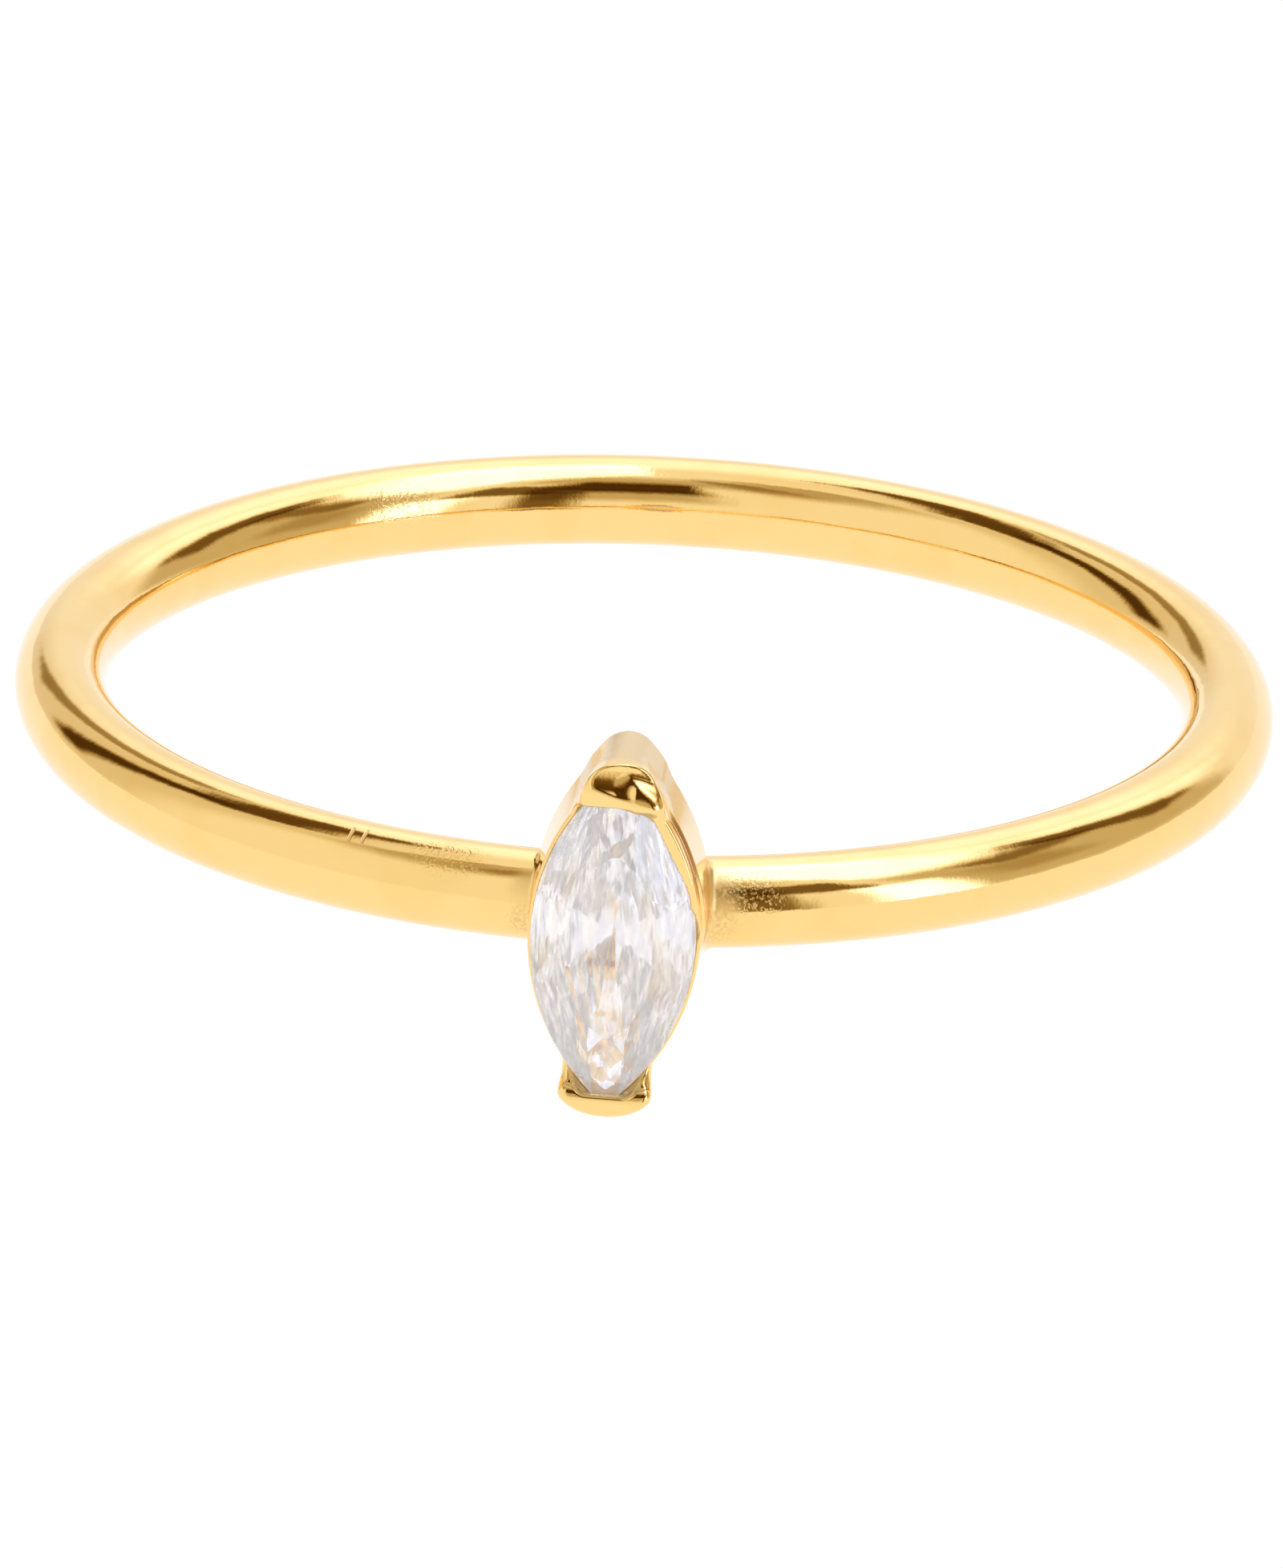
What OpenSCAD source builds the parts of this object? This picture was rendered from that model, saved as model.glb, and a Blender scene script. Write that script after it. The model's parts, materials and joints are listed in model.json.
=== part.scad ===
// Navette ring: a round wire band with one navette stone, held at its two ends
// by claws in an open cup. Millimetres, +Z up.
// The ring lies on its side, as it does on a table: it touches down on the foot
// of the lower claw and on the back of the band, so the front is a little raised.
// The origin is on the table, under the middle of the ring.

/* [Band] */
// Inside diameter of the band, where the finger goes
finger_d = 16.5; // [14:0.1:22]
// Thickness of the round wire that the band is bent from
wire_d = 1.4; // [1.2:0.05:2]

/* [Stone] */
// Length of the stone from one blunt point to the other
stone_len = 5; // [4.4:0.1:6]
// Width of the stone across its middle
stone_w = 2.5; // [2.2:0.1:3]
// How much further the two curved sides would run before they meet in a sharp point
blunting = 0.18; // [0.1:0.02:0.4]
// Height of the crown, from the girdle up to the table
crown_h = 0.4; // [0.3:0.05:0.6]
// Depth of the pavilion, from the girdle down to the culet
pavilion_h = 1.05; // [0.9:0.05:1.2]
// Thickness of the girdle, the edge all round
girdle_h = 0.08; // [0.04:0.01:0.15]
// Size of the table, as a share of the outline
table_share = 0.58; // [0.5:0.01:0.65]
// Height of the girdle over the outside of the band
stone_rise = 0.82; // [0.7:0.02:1.2]

/* [Cup] */
// How far the rim of the cup stands out past the side of the stone
rim_w = 0.05; // [0.03:0.01:0.2]
// How much further the cup stands out at its back
cup_flare = 0.06; // [0:0.01:0.15]
// Thickness of the wall of the cup
cup_wall = 0.3; // [0.2:0.05:0.5]
// Depth of the cup, from the girdle to its open back
cup_depth = 1.48; // [1.4:0.02:1.8]
// How far the rim lies under the girdle
rim_drop = 0.05; // [0.03:0.01:0.15]
// Gap between the stone and the metal all round
seat_gap = 0.03; // [0.02:0.01:0.06]

/* [Claws] */
// How far a claw stands out past the point of the stone
claw_end = 0.31; // [0.25:0.01:0.5]
// Diameter of the foot of a claw, at the back of the cup
claw_foot_d = 1.14; // [0.9:0.02:1.4]
// Width of the front of the upper claw, where it wraps the point of the stone
upper_claw_w = 1.26; // [1.1:0.02:1.6]
// Width of the front of the lower claw
lower_claw_w = 1.44; // [1.1:0.02:1.6]
// Radius of the broad curve round the front end of a claw
claw_curve_r = 0.85; // [0.8:0.05:1.2]
// Radius that the front edge of a claw is rounded to
claw_edge_r = 0.16; // [0.12:0.01:0.2]
// Height of the front of a claw over the girdle
claw_rise = 0.28; // [0.2:0.02:0.4]
// How far the upper claw reaches in over the point of the stone
upper_reach = 0.28; // [0.1:0.02:0.4]
// How far the lower claw reaches in over the point of the stone
lower_reach = 0.1; // [0.05:0.01:0.3]
// How far both claws reach in over the sides of the stone
side_reach = 0.1; // [0.05:0.01:0.2]
// Slope of the inner face of a claw, from upright
claw_bevel = 28; // [20:2:50]

/* [Soldering] */
// How far the cup is turned askew on the band, in degrees
cup_twist = 2.4; // [-5:0.1:5]
// How far the cup leans out of square with the band, in degrees
cup_lean = 0.9; // [-3:0.1:3]
// How far the cup sits towards its lower claw, from the middle of the band
cup_drop = 0.06; // [0:0.01:0.15]

/* [Hidden] */
$fn = 96;

wire_r = wire_d / 2;
band_r = finger_d / 2 + wire_r;
girdle_at = band_r + wire_r + stone_rise;

// Each side of the stone is an arc through its widest place and the sharp point
half_w = stone_w / 2;
half_len = stone_len / 2;
sharp_half = half_len + blunting;
side_r = (pow(sharp_half, 2) + pow(half_w, 2)) / stone_w;
side_centre = side_r - half_w;
// Half the width of the blunt point, and the direction that the arc faces there
blunt_half = sqrt(pow(side_r, 2) - pow(half_len, 2)) - side_centre;
blunt_turn = asin(half_len / side_r);

// Facets of the stone. Columns: the directions that they face, in the first quarter and
// turned from the width to the length, then how far out they lie at the girdle and how
// far out at the table or the culet, both as shares of the outline
FACES = 0;
AT_GIRDLE = 1;
AT_END = 2;
MAIN_FACES = [0, 28, 90];
GIRDLE_FACES = [9, 19, 34, 42];
STAR_FACES = [14, 50];
CROWN = [
    [MAIN_FACES, 1.01, table_share],
    [GIRDLE_FACES, 1, 0.8],
    [STAR_FACES, 1.22, 0.97 * table_share],
];
PAVILION = [
    [MAIN_FACES, 1.01, 0],
    [GIRDLE_FACES, 1, 0.18],
];
// The culet is a tiny flat, this share of the way down the pavilion
culet_share = 0.97;

// Larger than anything that is cut away
beyond = 4 * sharp_half;

claw_tip = half_len + claw_end;
claw_foot_r = claw_foot_d / 2;
claw_foot_at = claw_tip - claw_foot_r;
lip_path_r = claw_curve_r - claw_edge_r;
LIP_STEPS = 6;
LIP_FACETS = 32;
// Middles of the balls that round the front edge of an upper claw of this width
function lip(width) =
    let (half_turn = asin((width / 2 - claw_edge_r) / lip_path_r))
    [
        for (i = [0 : LIP_STEPS])
            let (turn = half_turn * (2 * i / LIP_STEPS - 1))
                [
                    lip_path_r * sin(turn),
                    claw_tip - claw_curve_r + lip_path_r * cos(turn),
                    claw_rise - claw_edge_r
                ]
    ];
function mirrored(p) = [p[0], -p[1], p[2]];
LIP_BALLS = concat(lip(upper_claw_w), [for (p = lip(lower_claw_w)) mirrored(p)]);

// Tilt at which the back of the band and the foot of the lower claw both touch the table
rest_span = band_r + girdle_at - cup_depth;
rest_drop = claw_tip + cup_drop;
rest_tilt = atan2(rest_drop, rest_span) - asin(wire_r / norm([rest_span, rest_drop]));
rest_height = band_r * sin(rest_tilt) + wire_r;

// How far forward a ball of the claws reaches once the ring is tilted
function ball_reach(p) =
    let (
        across = p[0] * cos(cup_lean) + p[1] * sin(cup_lean),
        along = p[1] * cos(cup_lean) - p[0] * sin(cup_lean) - cup_drop,
        out = girdle_at - band_r + p[2],
        front = band_r + out * cos(cup_twist) + across * sin(cup_twist)
    )
    front * cos(rest_tilt) - along * sin(rest_tilt) + claw_edge_r;
front_reach = max([for (p = LIP_BALLS) ball_reach(p)]);
back_reach = band_r * cos(rest_tilt) + wire_r;
rest_shift = (front_reach - back_reach) / 2;

// How far the outline of the stone reaches in a direction of the first quarter
function outline_reach(turn) =
    turn < blunt_turn
        ? side_r - side_centre * cos(turn)
        : blunt_half * cos(turn) + half_len * sin(turn);

// A direction of the first quarter with its mirror images in the other three
function all_quarters(turn) =
    turn == 0 ? [0, 180] : turn == 90 ? [90, 270] : [turn, 180 - turn, 180 + turn, -turn];

// The planes of one end of the stone, each with the direction that it faces, its slope
// from upright and its distance from the middle of the stone
function facet_planes(rows, height) = [
    for (row = rows, face = row[FACES], turn = all_quarters(face))
        let (
            out = outline_reach(face),
            slope = atan2(height, (row[AT_GIRDLE] - row[AT_END]) * out)
        )
        [turn, slope, row[AT_GIRDLE] * out * sin(slope) + girdle_h / 2 * cos(slope)]
];
table_plane = [0, 0, girdle_h / 2 + crown_h];
culet_plane = [0, 180, girdle_h / 2 + pavilion_h * culet_share];
STONE_PLANES = concat(
    [table_plane, culet_plane],
    facet_planes(CROWN, crown_h),
    [for (p = facet_planes(PAVILION, pavilion_h)) [p[0], 180 - p[1], p[2]]]
);

// Everything on the inner side of a plane, moved out by the amount that it grows
module inside(plane, grow) {
    rotate([0, plane[1], plane[0]])
        translate([-beyond / 2, -beyond / 2, plane[2] + grow - beyond])
            cube(beyond);
}

// Block between the two curved sides of the stone, which are moved out by the
// amounts given for its bottom and its top
module navette(half_length, low, high, out_low, out_high) {
    intersection() {
        translate([side_centre, 0, low])
            cylinder(r1 = side_r + out_low, r2 = side_r + out_high, h = high - low);
        translate([-side_centre, 0, low])
            cylinder(r1 = side_r + out_low, r2 = side_r + out_high, h = high - low);
        translate([-beyond / 2, -half_length, low])
            cube([beyond, 2 * half_length, high - low]);
    }
}

// The cut stone, table up, with every face moved out by the amount that it grows
module cut_stone(grow) {
    intersection() {
        intersection_for (plane = STONE_PLANES)
            inside(plane, grow);
        navette(half_len + grow, -beyond / 2, beyond / 2, grow, grow);
    }
}

// Wall of the cup, which follows the stone and ends in the rim just under the girdle
module cup() {
    rim_at = -girdle_h / 2 - rim_drop;
    navette(claw_foot_at, -cup_depth, rim_at, rim_w + cup_flare, rim_w);
}

// Hollow of the cup, open at the back
module cup_hollow() {
    inside = rim_w - cup_wall;
    navette(half_len, -cup_depth - cup_wall, 0, inside, inside);
}

// Upper claw, from its round foot to its broad rounded front
module claw(width) {
    hull() {
        translate([0, claw_foot_at, -cup_depth])
            cylinder(r = claw_foot_r, h = cup_wall);
        for (ball = lip(width))
            translate(ball)
                sphere(r = claw_edge_r, $fn = LIP_FACETS);
    }
}

// Opening over the crown that the inner face of the upper claw leaves. Its end and
// its sides spread with the bevel from where the claw stops over the stone
module claw_window(reach) {
    low = -girdle_h / 2;
    high = claw_rise + claw_edge_r;
    spread = (high - low) * tan(claw_bevel);
    end_at = half_len - reach;
    end_plane = [90, 90 + claw_bevel, end_at * cos(claw_bevel) - low * sin(claw_bevel)];
    intersection() {
        navette(end_at + spread, low, high, -side_reach, spread - side_reach);
        inside(end_plane, 0);
    }
}

// Upper claw with the opening over the crown cut into it
module cut_claw(width, reach) {
    difference() {
        claw(width);
        claw_window(reach);
    }
}

// Moves a piece from the frame of the stone to its place on the band
module on_band() {
    translate([0, -band_r, -cup_drop])
        rotate([0, 0, -cup_twist])
            translate([0, band_r - girdle_at, 0])
                rotate([90, 0, 0])
                    rotate([0, 0, -cup_lean])
                        children();
}

// Tilts the ring to the way it lies and sets it down over the origin
module lay_down() {
    translate([0, rest_shift, rest_height])
        rotate([-rest_tilt, 0, 0])
            children();
}

// The band, the cup and the two claws, soldered into one piece of metal
module band_and_setting() {
    color("goldenrod")
        lay_down()
            difference() {
                union() {
                    rotate_extrude()
                        translate([band_r, 0])
                            circle(r = wire_r);
                    on_band()
                        difference() {
                            union() {
                                cup();
                                cut_claw(upper_claw_w, upper_reach);
                                mirror([0, 1, 0])
                                    cut_claw(lower_claw_w, lower_reach);
                            }
                            cup_hollow();
                        }
                }
                on_band()
                    cut_stone(seat_gap);
            }
}

// The stone, cut as a navette brilliant
module stone() {
    color("aliceblue")
        lay_down()
            on_band()
                cut_stone(0);
}

band_and_setting();
stone();
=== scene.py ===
# %% [markdown]
# # A navette ring
# A finger ring: a round gold wire, a small open cup soldered onto its front, and one
# clear navette stone that two domed claws hold by its points. The CAD model gives every
# size and place, and this file dresses it. The metal becomes one closed skin with real
# fillets, the stone gets its glass, and a glowing table and a studio tent light them.
# The first lines load the imported model. Nothing made here may stand out of it.

import json
import math

import bmesh
import bpy
import numpy as np
from mathutils import Matrix, Vector


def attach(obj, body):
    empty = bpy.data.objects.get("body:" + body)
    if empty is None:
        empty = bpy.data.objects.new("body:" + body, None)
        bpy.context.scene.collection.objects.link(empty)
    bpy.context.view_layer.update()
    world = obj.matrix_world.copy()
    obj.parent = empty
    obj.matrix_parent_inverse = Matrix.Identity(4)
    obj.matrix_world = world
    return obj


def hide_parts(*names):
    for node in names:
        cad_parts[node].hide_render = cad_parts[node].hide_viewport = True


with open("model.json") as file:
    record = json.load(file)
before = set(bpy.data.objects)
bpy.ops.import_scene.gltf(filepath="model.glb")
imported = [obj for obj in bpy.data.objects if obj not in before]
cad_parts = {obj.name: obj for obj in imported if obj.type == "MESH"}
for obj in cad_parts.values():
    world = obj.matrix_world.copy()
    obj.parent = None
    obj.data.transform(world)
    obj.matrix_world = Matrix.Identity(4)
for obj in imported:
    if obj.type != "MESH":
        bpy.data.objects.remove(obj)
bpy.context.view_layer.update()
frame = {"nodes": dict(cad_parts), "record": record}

# %% [markdown]
# ## Three frames
# A jeweller thinks in millimetres, so the sizes of the CAD model are given in
# millimetres, each where it is first needed, and a mesh is turned into metres when it is
# finished. The ring lies on its side with its front a little raised, because the lower
# claw's foot touches the table. So there are three frames: the part's own, the ring's
# with the band flat round the origin, and the stone's with its table up and its length
# along Y. The record states the finger hole as a mount, and its place and axis give the
# first step. The second allows for a cup that was soldered on a little askew.

# %% Frames of the ring and of the stone
MM = 0.001
BAND_R = 8.95  # from the middle of the ring to the middle of the wire
GIRDLE_AT = 10.47  # from the middle of the ring to the girdle of the stone
CUP_TWIST = math.radians(2.4)  # the cup looks this much to one side
CUP_LEAN = math.radians(0.9)  # and its points stand this much out of plumb
CUP_DROP = 0.06  # its middle is this far under the wire's

hole = frame["record"]["mounts"][0]
hole_axis = Vector(hole["axis"])
rest_tilt = math.atan2(hole_axis.y, hole_axis.z)
ring_place = Matrix.Translation(Vector(hole["pos_m"]) / MM) @ Matrix.Rotation(
    -rest_tilt, 4, "X"
)
stone_on_ring = (
    Matrix.Translation((0, -BAND_R, -CUP_DROP))
    @ Matrix.Rotation(-CUP_TWIST, 4, "Z")
    @ Matrix.Translation((0, BAND_R - GIRDLE_AT, 0))
    @ Matrix.Rotation(math.pi / 2, 4, "X")
    @ Matrix.Rotation(-CUP_LEAN, 4, "Z")
)
stone_place = ring_place @ stone_on_ring
to_metres = Matrix.Scale(MM, 4)
print("the front is raised by", round(math.degrees(rest_tilt), 2), "degrees")

# %% [markdown]
# ## Nodes written as Python
# A material is easier to read as arithmetic than as a picture of wires. Socket wraps one
# output of a node, and its operators add Math nodes, so that 1 - mask is a node too.

# %% Sockets that can be added up
class Socket:
    """One output of a node, which takes part in Python's arithmetic."""

    def __init__(self, tree, output):
        self.tree = tree
        self.output = output

    def math(self, operation, *values):
        return self.tree.add("ShaderNodeMath", {"operation": operation}, dict(enumerate(values)))

    def __add__(self, other):
        return self.math("ADD", self, other)

    def __radd__(self, other):
        return self.math("ADD", other, self)

    def __sub__(self, other):
        return self.math("SUBTRACT", self, other)

    def __rsub__(self, other):
        return self.math("SUBTRACT", other, self)

    def __mul__(self, other):
        return self.math("MULTIPLY", self, other)

    def __rmul__(self, other):
        return self.math("MULTIPLY", other, self)

    def __neg__(self):
        return self.math("MULTIPLY", self, -1)

    def __pow__(self, other):
        return self.math("POWER", self, other)

    def __abs__(self):
        return self.math("ABSOLUTE", self)

    def most(self, other):
        return self.math("MAXIMUM", self, other)


# %% [markdown]
# Every other kind of node comes from NodeTree.add: its kind, its settings, then what
# goes into its sockets. Colours go through a Mix node, because a Math node would turn
# them grey. Its sockets share their names, so they are called by number.

# %% Trees that are built from Python
MIX_FACTOR, MIX_FIRST, MIX_SECOND = 0, 6, 7
MIX_RESULT = 2


class NodeTree:
    """A node tree of a material, the world or Geometry Nodes."""

    def __init__(self, tree):
        self.tree = tree

    def node(self, kind, settings=None, values=None):
        made = self.tree.nodes.new(kind)
        for name, value in (settings or {}).items():
            setattr(made, name, value)
        for name, value in (values or {}).items():
            if isinstance(value, Socket):
                self.tree.links.new(value.output, made.inputs[name])
            else:
                made.inputs[name].default_value = value
        return made

    def add(self, kind, settings=None, values=None, output=0):
        return Socket(self, self.node(kind, settings, values).outputs[output])

    def components(self, vector):
        """The X, Y and Z of a vector."""
        parts = self.node("ShaderNodeSeparateXYZ", values={0: vector})
        return (Socket(self, output) for output in parts.outputs)

    def mix_colours(self, factor, first, second):
        return self.add(
            "ShaderNodeMix",
            {"data_type": "RGBA"},
            {MIX_FACTOR: factor, MIX_FIRST: first, MIX_SECOND: second},
            MIX_RESULT,
        )

    def smooth_step(self, value, start, end):
        """0 at the start, 1 at the end, and an easy slope between them."""
        return self.add(
            "ShaderNodeMapRange",
            {"interpolation_type": "SMOOTHSTEP"},
            {"Value": value, "From Min": start, "From Max": end},
        )


def new_material(name):
    """An empty material and its tree."""
    material = bpy.data.materials.new(name)
    material.use_nodes = True
    material.node_tree.nodes.clear()
    return material, NodeTree(material.node_tree)


# %% [markdown]
# ## Gold
# The metal has the look of polished gold plate. A metal has no colour of its own but tints what it
# mirrors, so its base colour is that tint, and most of the picture in it comes from the studio; a
# painted reflection and a painted shade line come later. Two noises stand for what polishing leaves:
# clouds, where the plate is a little deeper in colour, and a grain that is almost too fine to see.

# %% Tint of the gold
GOLD_TINT = (1.0, 0.7, 0.27, 1)
GOLD_DEEP = (0.97, 0.6, 0.18, 1)
DEEPER_BY = 0.3
CLOUDS_PER_M = 900.0
GRAINS_PER_M = 18000.0

gold, tree = new_material("polished_gold")
place = tree.add("ShaderNodeTexCoord", output="Object")
clouds = tree.add(
    "ShaderNodeTexNoise", values={"Vector": place, "Scale": CLOUDS_PER_M, "Detail": 2.0}
)
grain = tree.add(
    "ShaderNodeTexNoise", values={"Vector": place, "Scale": GRAINS_PER_M, "Detail": 1.0}
)
deeper = tree.smooth_step(clouds, 0.45, 0.7)
tint = tree.mix_colours(DEEPER_BY * deeper, GOLD_TINT, GOLD_DEEP)
print("the clouds in the plate are about", round(1 / (CLOUDS_PER_M * MM), 1), "mm wide")

# %% [markdown]
# The marks lie where they lie on the real ring. Casting left pits in three places. The
# torch left brown specks of solder beside the cup, and the metal that it melted there
# mirrors softly. Each mark is a mask, 1 at its place and 0 beyond its reach, so it could
# be painted as well, but a distance needs no picture and no unwrapped mesh.

# %% Pits, solder and melted metal
PITTED = (
    ((-2.64, -8.11, 3.43), 0.8),
    ((1.95, -8.53, 3.25), 0.7),
    ((-4.05, 8.0, 1.26), 0.8),
)
SOLDERED = (
    ((1.38, -8.85, 2.8), 0.55),
    ((-1.38, -8.85, 2.7), 0.45),
)
MELTED = (
    ((1.2, -8.6, 3.15), 0.8),
    ((-1.3, -8.65, 3.05), 0.6),
)
FULL_WITHIN = 0.4  # a mark has its full strength over this share of its reach


def marked(places):
    """1 at these places in mm and 0 beyond their reach."""
    masks = []
    for middle, reach in places:
        middle = tuple(MM * value for value in middle)
        away = tree.add(
            "ShaderNodeVectorMath", {"operation": "DISTANCE"}, {0: place, 1: middle}, "Value"
        )
        masks.append(tree.smooth_step(away, MM * reach, FULL_WITHIN * MM * reach))
    whole = masks[0]
    for mask in masks[1:]:
        whole = whole.most(mask)
    return whole


pits = marked(PITTED) * tree.smooth_step(grain, 0.45, 0.7)
melted = marked(MELTED)
solder = marked(SOLDERED) * tree.smooth_step(grain, 0.3, 0.8)
print("marks:", len(PITTED), "pitted,", len(MELTED), "melted,", len(SOLDERED), "with solder")

# %% [markdown]
# Two short scratches lie side by side on the wire, left of the head. A mark with straight
# edges needs axes of its own, which a Mapping node gives: it moves and turns the place,
# and its scale turns metres into millimetres.

# %% Two scratches
SCRATCH_AT = (-4.03, -7.5, 3.37)
SCRATCH_TURN = -0.34
SCRATCH_OFF = 0.11  # from the middle between the two to each of them


def own_axes(middle, turn):
    """Places in mm along three axes that start here and are turned like this."""
    turned = tree.add(
        "ShaderNodeMapping",
        {"vector_type": "TEXTURE"},
        {
            "Vector": place,
            "Location": tuple(MM * value for value in middle),
            "Rotation": tuple(turn),
            "Scale": (MM, MM, MM),
        },
    )
    return tree.components(turned)


across, along, above = own_axes(SCRATCH_AT, (0, 0, SCRATCH_TURN))
scratch = tree.smooth_step(abs(abs(across) - SCRATCH_OFF), 0.035, 0.015)
scratch = scratch * tree.smooth_step(abs(along), 0.15, 0.11)
scratch = scratch * tree.smooth_step(abs(above), 0.3, 0.2)
print("the two scratches are", 2 * SCRATCH_OFF, "mm apart")

# %% [markdown]
# Two marks follow the stone, so they use the stone's axes. Behind the level of the girdle, the
# outside of the upper claw is rubbed dull, and a pale grey tint is painted on it as a reflection of
# the pale light from behind. On the upper right, a dark brown line is painted in the ledge under the
# rim as its shade.

# %% Rubbed claw with a painted reflection, and a painted shade line
RUBBED_AND_PAINTED_REFLECTION = ((stone_place @ Vector((0.1, 2.75, -1.1)), 2.0),)
SHADE_LINE_BEHIND = 0.14  # from the girdle back to the middle of the seam

right, up, out = own_axes(stone_place.translation, stone_place.to_euler())
rubbed_and_painted_reflection = marked(RUBBED_AND_PAINTED_REFLECTION) * tree.smooth_step(out, -0.05, -0.3)
# painted shade: a dark line along the ledge under the pushed-up rim
painted_shade_line = tree.smooth_step(abs(out + SHADE_LINE_BEHIND), 0.05, 0.02)
painted_shade_line = painted_shade_line * tree.smooth_step(up, 0.8, 1.2) * tree.smooth_step(up, 2.1, 1.8)
painted_shade_line = painted_shade_line * tree.smooth_step(right, 0, 0.4)
print("the seam lies", SHADE_LINE_BEHIND, "mm behind the girdle")

# %% [markdown]
# Now the marks come together. A mark changes the tint, makes the mirror duller, or sinks into the
# surface. The pale tint on the claw is a painted reflection and the brown in the ledge is painted
# shade; the brown of the solder is its own. Each mark's own roughness is added to that of the
# polish, and one unit of height is a hundredth of a millimetre, softened by the strength. The coat
# is the thin clear lacquer that keeps plate from wearing off.

# %% Polished gold
GOLD_PAINTED_REFLECTION = (0.8, 0.59, 0.31, 1)
SOLDER_AND_SHADE_BROWN = (0.5, 0.22, 0.06, 1)
RELIEF_DEPTH = 0.01 * MM
POLISHED = 0.04  # roughness of the best of the mirror
CLOUDED = 0.06  # and what the clouds add to it

# painted reflection: behind the girdle the claw is tinted pale and grey, as where it mirrors pale
# light from behind
tint = tree.mix_colours(rubbed_and_painted_reflection, tint, GOLD_PAINTED_REFLECTION)
# solder specks are brown of their own; the line in the ledge is painted shade in the same brown
tint = tree.mix_colours((0.35 * solder).most(0.95 * painted_shade_line), tint, SOLDER_AND_SHADE_BROWN)
height = 8 * clouds + 0.4 * grain - pits - 3 * scratch
relief = tree.add(
    "ShaderNodeBump", values={"Strength": 0.15, "Distance": RELIEF_DEPTH, "Height": height}
)
worn = 0.25 * pits + 0.3 * melted + 0.3 * painted_shade_line + 0.4 * scratch + 0.22 * rubbed_and_painted_reflection
shader = tree.add(
    "ShaderNodeBsdfPrincipled",
    values={
        "Base Color": tint,
        "Metallic": 1.0,
        "Roughness": POLISHED + CLOUDED * clouds + worn,
        "Coat Weight": 0.4,
        "Coat Roughness": 0.05,
        "Normal": relief,
    },
)
tree.node("ShaderNodeOutputMaterial", values={"Surface": shader})
print("gold:", len(tree.tree.nodes), "nodes")

# %% [markdown]
# ## The band
# A jeweller draws a round wire, bends it round a mandrel and solders its ends behind the
# head. A primitive torus would do, but the wire is a shape that follows a path, which is
# what Geometry Nodes are for: an arc, and a circle that is swept along it. The arc leaves
# out the front, where the head's own mesh carries on.

# %% A tree that sweeps a wire
def band_tree():
    group = bpy.data.node_groups.new("swept_wire", "GeometryNodeTree")
    sockets = (
        ("Ring Radius", "NodeSocketFloat"),
        ("Wire Radius", "NodeSocketFloat"),
        ("Start Angle", "NodeSocketFloat"),
        ("Sweep Angle", "NodeSocketFloat"),
        ("Steps", "NodeSocketInt"),
        ("Sides", "NodeSocketInt"),
        ("Metal", "NodeSocketMaterial"),
    )
    for name, kind in sockets:
        group.interface.new_socket(name, in_out="INPUT", socket_type=kind)
    group.interface.new_socket("Wire", in_out="OUTPUT", socket_type="NodeSocketGeometry")
    tree = NodeTree(group)
    given = tree.node("NodeGroupInput")
    size = {name: Socket(tree, given.outputs[name]) for name, kind in sockets}
    path = tree.add(
        "GeometryNodeCurveArc",
        {"mode": "RADIUS"},
        {
            "Resolution": size["Steps"],
            "Radius": size["Ring Radius"],
            "Start Angle": size["Start Angle"],
            "Sweep Angle": size["Sweep Angle"],
        },
    )
    profile = tree.add(
        "GeometryNodeCurvePrimitiveCircle",
        {"mode": "RADIUS"},
        {"Resolution": size["Sides"], "Radius": size["Wire Radius"]},
    )
    wire = tree.add("GeometryNodeCurveToMesh", values={"Curve": path, "Profile Curve": profile})
    real = tree.add("GeometryNodeRealizeInstances", values={"Geometry": wire})
    painted = tree.add(
        "GeometryNodeSetMaterial", values={"Geometry": real, "Material": size["Metal"]}
    )
    tree.node("NodeGroupOutput", values={"Wire": painted})
    return group


wire_tree = band_tree()
print("swept wire:", len(wire_tree.nodes), "nodes")

# %% [markdown]
# A tree makes nothing by itself. It runs as a modifier on an empty mesh, with its inputs
# set first, and what comes out is kept as a plain mesh. The wire is a hair thinner than
# in the CAD model, by what the polishing takes off.

# %% The swept wire
WIRE_R = 0.697  # 0.7 in the CAD model
HEAD_TURN = math.radians(12.3)  # half of the arc that the head's mesh makes
STRIP_TURN = math.radians(0.3)  # narrow strip that sews the two meshes together
BAND_STEPS = 360
WIRE_SIDES = 64


def grown_mesh(group, inputs):
    """The mesh that a Geometry Nodes tree makes from these named inputs."""
    holder = bpy.data.objects.new("grower", bpy.data.meshes.new("grower"))
    bpy.context.scene.collection.objects.link(holder)
    modifier = holder.modifiers.new("grow", "NODES")
    modifier.node_group = group
    for item in group.interface.items_tree:
        if item.in_out == "INPUT" and item.name in inputs:
            modifier[item.identifier] = inputs[item.name]
    graph = bpy.context.evaluated_depsgraph_get()
    mesh = bpy.data.meshes.new_from_object(holder.evaluated_get(graph))
    bpy.data.objects.remove(holder)
    return mesh


front = -math.pi / 2
wire_mesh = grown_mesh(
    wire_tree,
    {
        "Ring Radius": BAND_R,
        "Wire Radius": WIRE_R,
        "Start Angle": front + HEAD_TURN + STRIP_TURN / 2,
        "Sweep Angle": 2 * math.pi - 2 * HEAD_TURN - STRIP_TURN,
        "Steps": BAND_STEPS,
        "Sides": WIRE_SIDES,
        "Metal": gold,
    },
)
print("wire:", len(wire_mesh.polygons), "faces")

# %% [markdown]
# ## Shapes as distances
# The head was cast, then filed and polished, so nothing on it has a sharp edge, and
# solder has run into the corner between cup and band. Bevelled booleans are fragile on
# such a small lump. Here every form is a rule that gives the distance of a point from
# its surface, less than nothing inside. Then joining two forms is a minimum, cutting is
# a maximum, and a small change to either rounds the edge or fills the corner.

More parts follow.
